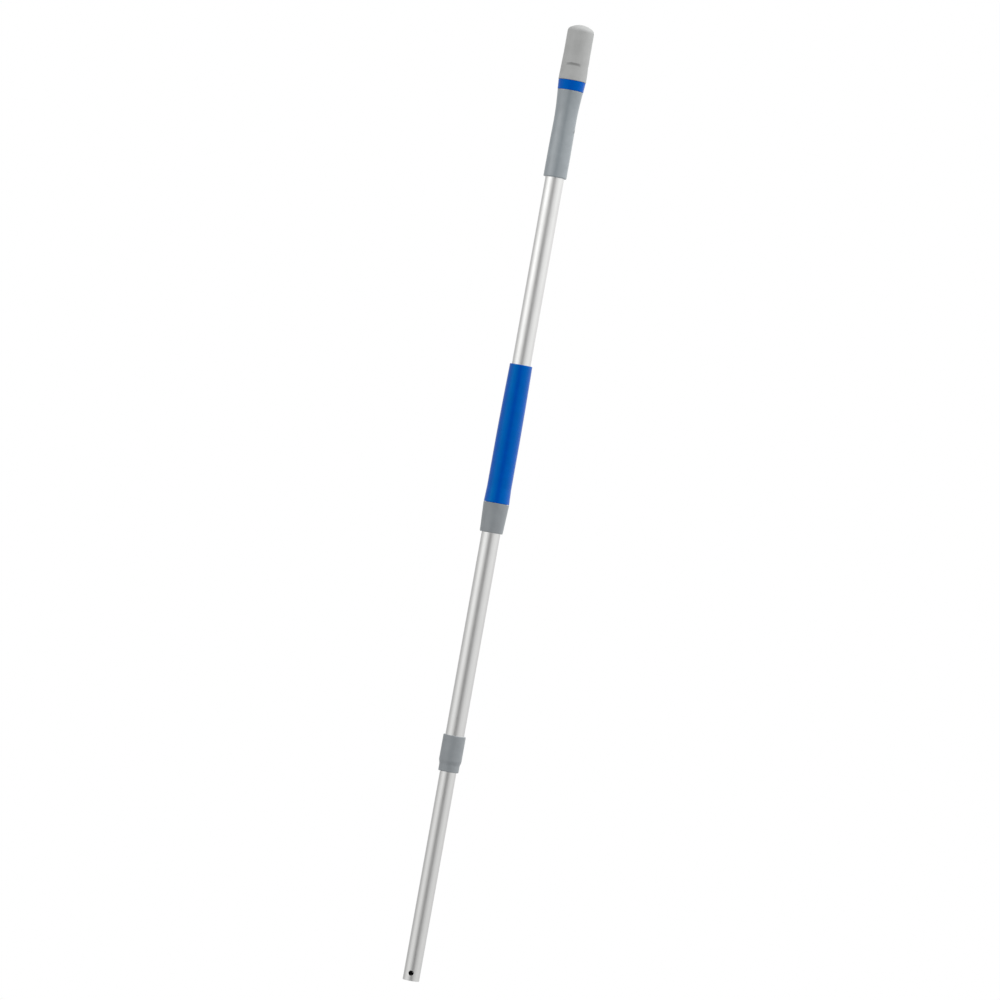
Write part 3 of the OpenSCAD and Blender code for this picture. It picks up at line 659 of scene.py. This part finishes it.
def inner_tube():
    """The inner tube: a straight round wall, wider inside at its sized socket.

    The lock hole faces -Y through one wall only, and the holes of the cross pin go through both
    walls near the upper end.
    """
    low, high = span_of("inner_tube")
    socket_top = span_of("socket_stop")[0]
    socket_r = INNER_TUBE_R - SOCKET_WALL
    bore_r = INNER_TUBE_R - TUBE_WALL
    lead = 0.2 * MM

    def bore(height):
        return bore_r + (socket_r - bore_r) * np.clip((socket_top + lead - height) / lead, 0, 1)

    lock_r, lock_z = 3.4 * MM, low + 10.3 * MM
    pin_r, pin_z = 1.55 * MM, middle_of("plug_pin")
    half_turn, minus_y = TURNS // 2, TURNS * 3 // 4
    holes = [
        (minus_y, 16, lock_z, [(lock_r, None), (lock_r, None)]),
        (0, 8, pin_z, [(pin_r, None), (pin_r, None)]),
        (half_turn, 8, pin_z, [(pin_r, None), (pin_r, None)]),
    ]
    tube = tube_with_holes("inner_tube_skin", low, high, plain_skin(INNER_TUBE_R), bore, holes,
                           edge_radius=0.2 * MM, lines=[socket_top, socket_top + lead])
    place(tube, "inner_pole", "inner_tube", "anodised_tube")


# ---------------- mouldings on the outer tube

def ferrule():
    """The ferrule: a neck round its bush, a soft shoulder and a body round the tube."""
    low, high = span_of("ferrule")
    seat = OUTER_TUBE_R + SEAT_GAP
    tube_end = span_of("outer_tube")[0]
    bush_r = radius_of("ferrule_bush") + SEAT_GAP
    neck_r = bush_r + 1.2 * MM
    body_r = radius_of("ferrule")
    opening = INNER_TUBE_R + SLIDE_GAP + FREE_GAP / 2
    lip = low + 1.5 * MM
    shoulder, shoulder_rise, shoulder_fillet = tube_end - 0.8 * MM, 5.5 * MM, 5 * MM
    outline, edge = rounded([
        (opening, low, 0.25 * MM),
        (neck_r, low, 1.0 * MM),
        (neck_r, shoulder, shoulder_fillet),
        (body_r, shoulder + shoulder_rise, shoulder_fillet),
        (body_r, high, 0.8 * MM),
        (seat, high, 0.15 * MM),
        (seat, tube_end, 0),
        (bush_r, tube_end, 0),
        (bush_r, lip, 0),
        (opening, lip, 0),
    ])
    place(lathe("ferrule_moulding", outline, edge), "outer_pole", "ferrule", "collar_plastic")


def grip_body():
    """The waisted grip, with a flat-bottomed pocket for the side screw on the +X side.

    Its wall thins to the waist by a cosine ease of the squared share of the height, then thickens
    to the top with a power of the height above the waist.
    """
    low, high = span_of("grip_body")
    waist = 78 * MM
    flare_power = 1.7
    wall_low, wall_waist = 2.95 * MM, 2.5 * MM
    wall_top = radius_of("colour_ring") - RING_FLARE - 0.15 * MM - OUTER_TUBE_R

    def outside(height):
        climb = np.clip((height - low) / waist, 0, 1) ** 2
        thin = wall_low - (wall_low - wall_waist) * (1 - np.cos(np.pi * climb)) / 2
        flare = np.clip((height - low - waist) / (high - low - waist), 0, 1)
        return OUTER_TUBE_R + thin + (wall_top - wall_waist) * flare ** flare_power

    pocket_r, clear_of_screw = 2.7 * MM, 4.2 * MM
    hole = (0, 10, SCREW_Z, [(pocket_r, None), (pocket_r, SCREW_SEAT_R),
                             (SCREW_HOLE_R, SCREW_SEAT_R), (SCREW_HOLE_R, None)])
    lines = np.linspace(low + 2 * MM, high - 2 * MM, 60)
    lines = lines[abs(lines - SCREW_Z) > clear_of_screw]
    inside = plain_skin(OUTER_TUBE_R + SEAT_GAP)
    body = tube_with_holes("grip_body_moulding", low, high, outside, inside, [hole],
                           edge_radius=1.0 * MM, lines=lines)
    place(body, "outer_pole", "grip_body", "grip_plastic")


def grip_screw():
    """The side screw: a low domed head with a cross recess, on a short shank.

    The head is a grid of distance from the screw's axis and angle. Its height is the dome less the
    recess: two crossed slots, narrower outwards, whose floors rise away from the middle.
    """
    low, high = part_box("grip_screw")
    head_r = (high.z - low.z) / 2
    tip_x, top_x = low.x, high.x
    shank_r, tip_chamfer = 1.45 * MM, 0.3 * MM
    dome_fall, dome_power, head_side = 0.32 * MM, 2.6, 0.45 * MM
    slot_length, slot_soft, length_soft = 0.66 * head_r, 0.10 * MM, 0.2 * MM
    spokes = 96
    turn = np.arange(spokes) * 2 * np.pi / spokes
    share = np.concatenate([[0.06, 0.12], np.linspace(0.18, 0.86, 30), [0.92, 0.97, 1.0]])[:, None]
    a = share * head_r * np.cos(turn)
    b = share * head_r * np.sin(turn)
    slot_half = (0.36 - 0.10 * share) * MM
    across = np.minimum(abs(a), abs(b))
    along = np.maximum(abs(a), abs(b))
    in_slot = (np.clip((slot_half - across) / slot_soft, 0, 1)
               * np.clip((slot_length - along) / length_soft, 0, 1))
    in_slot = in_slot * in_slot * (3 - 2 * in_slot)
    recess = (0.75 - 0.25 * along / head_r) * MM
    top = top_x - dome_fall * share ** dome_power - in_slot * recess
    rim = [(head_r, top_x - head_side), (head_r, SCREW_SEAT_R), (shank_r, SCREW_SEAT_R),
           (shank_r, tip_x + tip_chamfer), (shank_r - tip_chamfer, tip_x)]
    x = np.vstack([top] + [np.full((1, spokes), rim_x) for _, rim_x in rim])
    reach = np.vstack([share * head_r, [[rim_r] for rim_r, _ in rim]])
    grid = np.broadcast_arrays(x, reach * np.cos(turn), SCREW_Z + reach * np.sin(turn))
    centres = [[top[0].mean(), 0, SCREW_Z], [tip_x, 0, SCREW_Z]]
    points = np.vstack([np.stack(grid, -1).reshape(-1, 3), centres])
    rows = len(reach)
    faces = [
        grid_faces(rows, spokes)[:, ::-1],
        fan(0, spokes, rows * spokes),
        fan((rows - 1) * spokes, spokes, rows * spokes + 1, flip=True),
    ]
    worn = np.concatenate([share[:, 0] > 0.9, [1], np.zeros(len(rim) - 1)])
    edge = np.append(np.repeat(worn, spokes), [0, 0])
    head = make_piece("grip_screw_head", points, faces, edge)
    place(head, "outer_pole", "grip_screw", "black_screw")


def colour_ring():
    """The colour ring: a short flaring band with finely rounded edges."""
    low, high = span_of("colour_ring")
    top_r = radius_of("colour_ring")
    bore = radius_of("tube_plug") + SEAT_GAP
    outline, edge = rounded([
        (bore, low, 0.15 * MM),
        (top_r - RING_FLARE, low, 0.3 * MM),
        (top_r, high, 0.35 * MM),
        (bore, high, 0.15 * MM),
    ])
    place(lathe("colour_ring_moulding", outline, edge), "outer_pole", "colour_ring", "blue_plastic")


# ---------------- palm cap

CAP_LOW, CAP_HIGH = span_of("palm_cap")
CAP_R = radius_of("palm_cap")
CAP_TAPER, TAPER_HEIGHT = 0.8 * MM, 36 * MM     # the side leans in by the first over the second
SCOOPS = 3
LEDGE_Z = CAP_LOW + 22.5 * MM
SCOOP_HEIGHT, LEDGE_DEPTH = 15.5 * MM, 1.6 * MM
LEDGE_RADIUS, FLOOR_BEND = 40 * MM, 32 * MM     # radii of the ledge's line and of a scoop's floor
LEDGE_REACH = 10 * MM                           # beyond this the ledge's line carries on level
COVE = 3.4 * MM                                 # height of the hollow under a ledge
BROW_R = 0.25 * MM                              # rounded upper edge of a ledge
SLIVER = 0.02 * MM                              # keeps rows apart where a ledge runs out
CAP_TURN = np.arange(CAP_TURNS) * 2 * np.pi / CAP_TURNS
THIRD = 2 * np.pi / SCOOPS
FROM_MIDDLE = (CAP_TURN + THIRD / 2) % THIRD - THIRD / 2    # angle from the nearest scoop's middle


def cap_side(height):
    """Radius of the cap's plain side: a straight taper, then even."""
    return CAP_R - CAP_TAPER * np.clip((height - CAP_LOW) / TAPER_HEIGHT, 0, 1)


def scooped_side(height):
    """Radius of the cap's side with its scoops, and how far the side stands out of a scoop's floor.

    The radius is the smooth minimum (a + b - sqrt((a - b)^2 + k^2)) / 2 of the side and the floor.
    """
    soft = 0.12 * MM
    ledge_r, run_out_r = cap_side(LEDGE_Z), cap_side(LEDGE_Z - SCOOP_HEIGHT)
    slope = math.atan((run_out_r - ledge_r + LEDGE_DEPTH) / SCOOP_HEIGHT)
    centre = ledge_r - LEDGE_DEPTH - (height - LEDGE_Z) * math.tan(slope) - FLOOR_BEND
    scoop_floor = (centre * np.cos(FROM_MIDDLE)
                   + np.sqrt(FLOOR_BEND ** 2 - (centre * np.sin(FROM_MIDDLE)) ** 2))
    plain = cap_side(height)
    apart = plain - scoop_floor
    return (plain + scoop_floor - np.sqrt(apart ** 2 + soft ** 2)) / 2, apart


def cap_room():
    """Outline and edge values of the cap's inside, from the axis out to the foot of its side."""
    core_top = span_of("swivel_core")[1]
    room_r = radius_of("upper_bush") + 2 * MM
    room_top = span_of("swivel_spindle")[1] + 4 * MM
    side_start = 3 * MM
    outline, edge = rounded([
        (0, room_top, 0),
        (room_r, room_top, 0.5 * MM),
        (room_r, core_top, 0.2 * MM),
        (CORE_R, core_top, 0.3 * MM),
        (CORE_R, CAP_LOW, 0.3 * MM),
        (CAP_R, CAP_LOW, 0.35 * MM),
        (CAP_R - CAP_TAPER * side_start / TAPER_HEIGHT, CAP_LOW + side_start, 0),
    ])
    outline[0, 0] = POLE_POINT_R
    return outline[:-1], edge[:-1]


def cap_dome():
    """Height where the dome's rounded corner starts, and the outline of the corner and the dome."""
    dome_r, corner = 27 * MM, 6.5 * MM
    dome_z = CAP_HIGH - dome_r
    corner_x = CAP_R - CAP_TAPER - corner
    corner_z = dome_z + math.sqrt((dome_r - corner) ** 2 - corner_x ** 2)
    join = math.atan2(corner_z - dome_z, corner_x)
    turn_in = np.linspace(0, join, 12)[1:]
    crown = join + (np.pi / 2 - join) * np.linspace(0, 1, 16)[1:-1]
    radius = [corner_x + corner * np.cos(turn_in), dome_r * np.cos(crown), [POLE_POINT_R]]
    height = [corner_z + corner * np.sin(turn_in), dome_z + dome_r * np.sin(crown), [CAP_HIGH]]
    return corner_z, np.concatenate(radius), np.concatenate(height)


def palm_cap():
    """The palm cap: a round outline with the thumb scoops pressed into its outside.

    A scoop's floor is a round sheet across the cap that leans in towards its upper end: seen along
    Z it is a circle whose centre lies FLOOR_BEND behind the floor's middle line. The floor ends at
    its ledge, a line of LEDGE_RADIUS lying in the floor, and the rows of the grid near the ledge
    are bent to follow that line.
    """
    inside, inside_edge = cap_room()
    corner_z, dome_r, dome_z = cap_dome()
    ledge_side = np.clip(cap_side(LEDGE_Z) * np.sin(FROM_MIDDLE), -LEDGE_REACH, LEDGE_REACH)
    drop = np.sqrt(LEDGE_RADIUS ** 2 - ledge_side ** 2) - LEDGE_RADIUS
    foot_line = LEDGE_Z + drop
    foot_at, _ = scooped_side(foot_line)
    step = np.maximum(cap_side(foot_line) - foot_at, 0)

    # Rows of the side below the ledge and above it; those near the ledge are bent along it
    share = np.linspace(0, 1, 46)[1:] ** 0.85
    first_row, last_row = CAP_LOW + 1.2 * MM, LEDGE_Z - COVE - 0.3 * MM
    below = first_row + (last_row - first_row) * share
    taper_top = CAP_LOW + TAPER_HEIGHT
    above = np.concatenate([
        LEDGE_Z + np.array([0.85, 1.15, 1.6, 2.3, 3.3, 4.6, 6.2]) * MM,
        np.linspace(LEDGE_Z + 8.5 * MM, taper_top, 6),
        np.linspace(taper_top + 3 * MM, corner_z, 10),
    ])
    reach_below, reach_above = last_row - LEDGE_Z + SCOOP_HEIGHT, 8 * MM
    bend_below = np.clip(1 - (last_row - below) / reach_below, 0, 1) ** 1.6
    bend_above = np.clip(1 - (above - LEDGE_Z) / reach_above, 0, 1) ** 1.3
    z_below = below[:, None] + bend_below[:, None] * drop
    z_above = above[:, None] + bend_above[:, None] * drop
    r_below, apart = scooped_side(z_below)

    # The ledge: a quarter of an ellipse leads from the floor up and out to a rounded brow
    brow_r = np.minimum(BROW_R, step * 0.3)
    arc = np.linspace(0, np.pi / 2, COVE_ROWS)[:, None]
    below_ledge = 1 - np.sin(arc)
    z_foot = foot_line - COVE * below_ledge - SLIVER * (1 - arc)
    foot_floor, _ = scooped_side(z_foot)
    r_foot = foot_floor + (foot_at + step - brow_r - foot_floor) * (1 - np.cos(arc))
    turn_up = np.linspace(0, np.pi / 2, BROW_ROWS)[:, None]
    z_brow = foot_line + brow_r * (1 - np.cos(turn_up)) + SLIVER * (1 + turn_up)
    r_brow = foot_at + step - brow_r * (1 - np.sin(turn_up))

    ones = np.ones(CAP_TURNS)
    radius = np.vstack([inside[:, :1] * ones, r_below, r_foot, r_brow, cap_side(z_above),
                        dome_r[:, None] * ones])
    height = np.vstack([inside[:, 1:] * ones, z_below, z_foot, z_brow, z_above,
                        dome_z[:, None] * ones])
    # Painted shade in the cove under each ledge, strongest in its middle rows and where the ledge
    # is deep; it goes in as a negative edge value
    painted_cove_shade = (np.clip(step / (0.5 * MM), 0, 1) * np.clip(below_ledge / 0.3, 0, 1)
            * np.clip((1 - below_ledge) / 0.2, 0, 1))
    brow_wear = np.clip(step / (0.8 * MM), 0, 1)
    edge = np.vstack([
        inside_edge[:, None] * ones,
        np.clip(1 - abs(apart) / (0.35 * MM), 0, 1) * 0.8,
        -painted_cove_shade,
        np.tile(brow_wear, (BROW_ROWS, 1)),
        np.zeros((len(above) + len(dome_r), CAP_TURNS)),
    ])
    points = round_points(radius, CAP_TURN - np.pi / 2, height)
    points = np.vstack([points, [[0, 0, inside[0, 1]], [0, 0, CAP_HIGH]]])
    rows = len(radius)
    faces = [
        grid_faces(rows, CAP_TURNS),
        fan(0, CAP_TURNS, rows * CAP_TURNS, flip=True),
        fan((rows - 1) * CAP_TURNS, CAP_TURNS, rows * CAP_TURNS + 1),
    ]
    cap = make_piece("palm_cap_moulding", points, faces, np.append(edge, [0, 0]))
    place(cap, "palm_cap", "palm_cap", "cap_plastic")


# ---------------- middle grip

def grip_sleeve():
    """The blue sleeve: a straight cone at its lower end, then an even wall, then a thinning one.

    The wall thins with the 3/2 power of the height above its even part.
    """
    low, high = span_of("grip_sleeve")
    bore = radius_of("grip_carrier") + SEAT_GAP
    wall_even, wall_top = 2.3 * MM, 1.1 * MM
    flare = radius_of("grip_sleeve") - bore - wall_even
    flare_height, straight = 20 * MM, 85 * MM
    length = high - low
    cone = np.linspace(0.1, 0.85, 6) * flare_height
    even = np.linspace(1.2 * flare_height, straight, 6)
    climb = np.concatenate([cone, even, np.linspace(straight, length, 40)[1:-1]])
    thinned = np.clip((climb - straight) / (length - straight), 0, 1) ** 1.5
    flared = np.clip(1 - climb / flare_height, 0, 1)
    wall = wall_even + flare * flared - (wall_even - wall_top) * thinned
    skin = [(bore + w, low + h, 0) for w, h in zip(wall, climb)]
    skin.insert(len(cone), (bore + wall_even, low + flare_height, 6 * MM))
    top_r = bore + wall_top + 0.01 * MM
    outline, edge = rounded([
        (bore, low, 0.2 * MM),
        (bore + wall_even + flare, low, 0.35 * MM),
        *skin,
        (top_r, high, 0.5 * MM),
        (bore, high, 0.25 * MM),
    ])
    edge *= abs(outline[:, 1] - low - flare_height) > 5 * MM    # the flare's soft corner isn't worn
    place(lathe("grip_sleeve_moulding", outline, edge), "mid_grip", "grip_sleeve", "blue_sleeve")


def clamp_nut():
    """The clamp nut: a cone with a rounded lower edge and a lip round the tube.

    Inside it a cone presses on the olive, and a plain bore goes round the carrier.
    """
    low, high = span_of("clamp_nut")
    top_r = radius_of("clamp_nut")
    low_r = top_r - 1.9 * MM
    lip_bore = OUTER_TUBE_R + FREE_GAP
    thread_bore = radius_of("grip_carrier") + FREE_GAP
    olive_low, olive_top = span_of("clamp_olive")
    cone_r = radius_of("clamp_olive") - 0.8 * MM
    lip_top = low + 3 * MM
    outline, edge = rounded([
        (lip_bore, low, 0.3 * MM),
        (low_r, low, 1.4 * MM),
        (top_r, high, 0.4 * MM),
        (thread_bore, high, 0.3 * MM),
        (thread_bore, olive_top, 0),
        (cone_r, olive_low, 0),
        (cone_r, lip_top, 0),
        (lip_bore, lip_top, 0.2 * MM),
    ])
    place(lathe("clamp_nut_moulding", outline, edge), "grip_nut", "clamp_nut", "collar_plastic")


for build in (outer_tube, inner_tube, ferrule, grip_body, grip_screw, colour_ring, palm_cap,
              grip_sleeve, clamp_nut):
    build()

# The pieces inside keep their CAD shapes and get the finishes of their slots
for subpart in frame["record"]["subparts"]:
    if subpart["node"] not in REPLACED:
        slots = frame["nodes"][subpart["node"]].data.materials
        slots.clear()
        slots.append(FINISHES[subpart["material_slot"]])


# ---------------- studio

VIEW_TURN = math.radians(7.5)           # the camera stands this far round from -Y, towards +X
VIEW_ROLL = math.radians(10.172)        # the pole leans over by this much in the view
VIEW_DISTANCE = 6.4215
VIEW_HEIGHT = 0.6445
VIEW_ASIDE = 0.0040                     # the view's middle lies this far beside the pole's axis
LENS, SENSOR_WIDTH, CLIP_END = 175, 36, 50


def camera():
    """A level camera in front of the lock hole side, rolled so that the pole leans to the right."""
    across = Vector((math.cos(VIEW_TURN), math.sin(VIEW_TURN), 0))
    back = Vector((math.sin(VIEW_TURN), -math.cos(VIEW_TURN), 0))
    up = Vector((0, 0, 1))
    right = across * math.cos(VIEW_ROLL) + up * math.sin(VIEW_ROLL)
    over = up * math.cos(VIEW_ROLL) - across * math.sin(VIEW_ROLL)
    spot = Vector((0, 0, VIEW_HEIGHT)) + right * VIEW_ASIDE + back * VIEW_DISTANCE
    lens = bpy.data.cameras.new("camera")
    lens.lens = LENS
    lens.sensor_width = SENSOR_WIDTH
    lens.clip_end = CLIP_END
    made = bpy.data.objects.new("camera", lens)
    facing = Matrix((right, over, back)).transposed().to_4x4()
    made.matrix_world = Matrix.Translation(spot) @ facing
    bpy.context.scene.collection.objects.link(made)
    bpy.context.scene.camera = made


# Soft lights of the studio: turn from the camera's direction in degrees (left is negative), how
# narrow each one is, and its brightness above the horizon and below it. A negative one is a dark
# gap in the white walls.
STUDIO_LIGHTS = [
    ("key strip", -62, 8.0, 1.02, 0.25),
    ("right strip", 60, 20.0, 0.04, -0.04),
    ("camera gap", 0, 18.0, -0.60, -0.54),
    ("left wall gap", -122, 7.0, -0.24, -0.15),
    ("right wall", 135, 3.0, 0.16, 0.08),
]
WALL_LIGHT = 0.76, 0.64         # above the horizon and below it
HORIZON = -0.05, 0.08           # the light changes between these heights of the ray's direction
# Big soft lights above the horizon: turn and rise in degrees, how narrow each one is, and its
# brightness
HIGH_LIGHTS = [
    ("high right", 76, 52, 6.0, 2.7),
    ("overhead", 0, 85, 5.0, 0.25),
]
WHITE = (1.0, 1.0, 1.0, 1.0)


def studio():
    """A white room lit by soft lobes; the camera itself sees plain white.

    Each lobe's brightness is exp(narrowness * (cos(angle from it) - 1)).
    """
    world = bpy.data.worlds.new("studio")
    world.use_nodes = True
    world.node_tree.nodes.clear()
    bpy.context.scene.world = world
    w = Wiring(world.node_tree)
    way = w.node("TexCoord").outputs["Generated"]
    level = w.vector("NORMALIZE", w.vector("MULTIPLY", way, (1, 1, 0)))
    height = w.node("SeparateXYZ", {0: way}).outputs[2]
    above = w.spread(height, *HORIZON)

    def bright(high, low):
        return w.math("MULTIPLY_ADD", above, high - low, low)

    def lobe(direction, turn, rise, narrow):
        bearing, rise = VIEW_TURN + math.radians(turn), math.radians(rise)
        out = math.cos(rise)
        toward = (math.sin(bearing) * out, -math.cos(bearing) * out, math.sin(rise))
        near = w.vector("DOT_PRODUCT", direction, toward)
        return w.math("EXPONENT", w.math("MULTIPLY_ADD", near, narrow, -narrow))

    total = bright(*WALL_LIGHT)
    for _, turn, narrow, high, low in STUDIO_LIGHTS:
        total = w.add(total, lobe(level, turn, 0, narrow), bright(high, low))
    for _, turn, rise, narrow, strength in HIGH_LIGHTS:
        total = w.add(total, lobe(way, turn, rise, narrow), strength)
    lit = w.node("Background", {"Color": WHITE, "Strength": total}).outputs[0]
    seen = w.node("Background", {"Color": WHITE, "Strength": 1.0}).outputs[0]
    camera_ray = w.node("LightPath").outputs["Is Camera Ray"]
    mix = w.node("MixShader", {0: camera_ray, 1: lit, 2: seen})
    w.put(w.node("OutputWorld").inputs["Surface"], mix.outputs[0])


FLOOR_RADIUS = 0.34
FLOOR_BELOW = 10 * MM           # under the lowest place that the tool end reaches


def floor():
    """A thin pale disc that fades into the white room at its rim.

    It lies just lower than the tool end comes when the pole is pulled right out, so that the pole
    never passes through it.
    """
    joints = frame["record"]["behaviour"]["joints"]
    telescope = next(joint for joint in joints if joint["name"] == "telescope")
    level = -telescope["range_m"][1] - FLOOR_BELOW
    turns, rings = 96, 12
    angle = np.arange(turns) * 2 * np.pi / turns
    radius = np.linspace(0.004, FLOOR_RADIUS, rings)[:, None]
    points = np.vstack([round_points(radius, angle, level), [[0, 0, level]]])
    faces = [grid_faces(rings, turns)[:, ::-1], fan(0, turns, rings * turns)]
    disc = make_piece("floor", points, faces)
    made, w, shader, where, _ = new_material("pale_floor")
    fade_from = 0.35 * FLOOR_RADIUS
    fade = w.spread(w.from_axis(where), fade_from, FLOOR_RADIUS, to_low=1.0, to_high=0.0)
    for label, value in {"Base Color": (0.8, 0.8, 0.8, 1.0), "Roughness": 0.9,
                         "Emission Color": WHITE, "Emission Strength": 0.45, "Alpha": fade}.items():
        w.put(shader[label], value)
    disc.data.materials.append(made)
    disc.visible_glossy = False


camera()
studio()
floor()
bpy.context.scene.view_settings.view_transform = "Standard"
